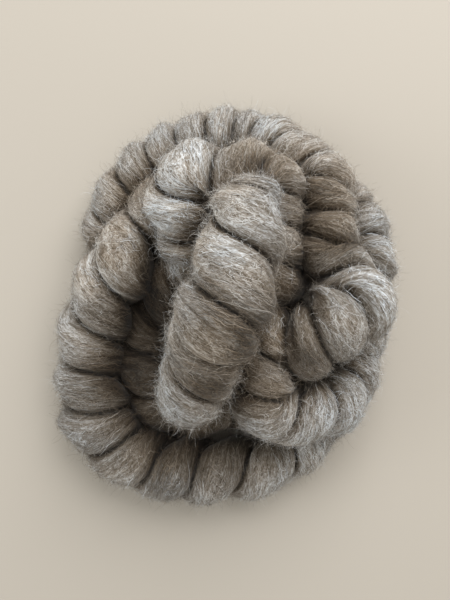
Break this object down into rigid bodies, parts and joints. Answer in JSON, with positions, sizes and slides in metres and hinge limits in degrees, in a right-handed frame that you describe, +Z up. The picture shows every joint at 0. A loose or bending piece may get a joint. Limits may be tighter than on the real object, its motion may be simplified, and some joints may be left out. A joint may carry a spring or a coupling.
{
  "type": "wool combed top",
  "caption": "Loose coil of grey-brown natural wool combed top, doubled and twisted on itself into a soft thick rope, with its end laid over the top.",
  "frame": {"origin": "middle of the coil's footprint, on the surface that it lies on", "axes": "+Z up from that surface; +Y towards the back round of the coil, along its longer side; +X towards the side where the front loop rises"},
  "size_m": [0.1895, 0.2233, 0.115],
  "materials": {
    "wool": "soft matt combed fibre, grey with brown in the creases"
  },
  "bodies": {
    "root": {"twisted_top": "wool"}
  },
  "joints": []
}
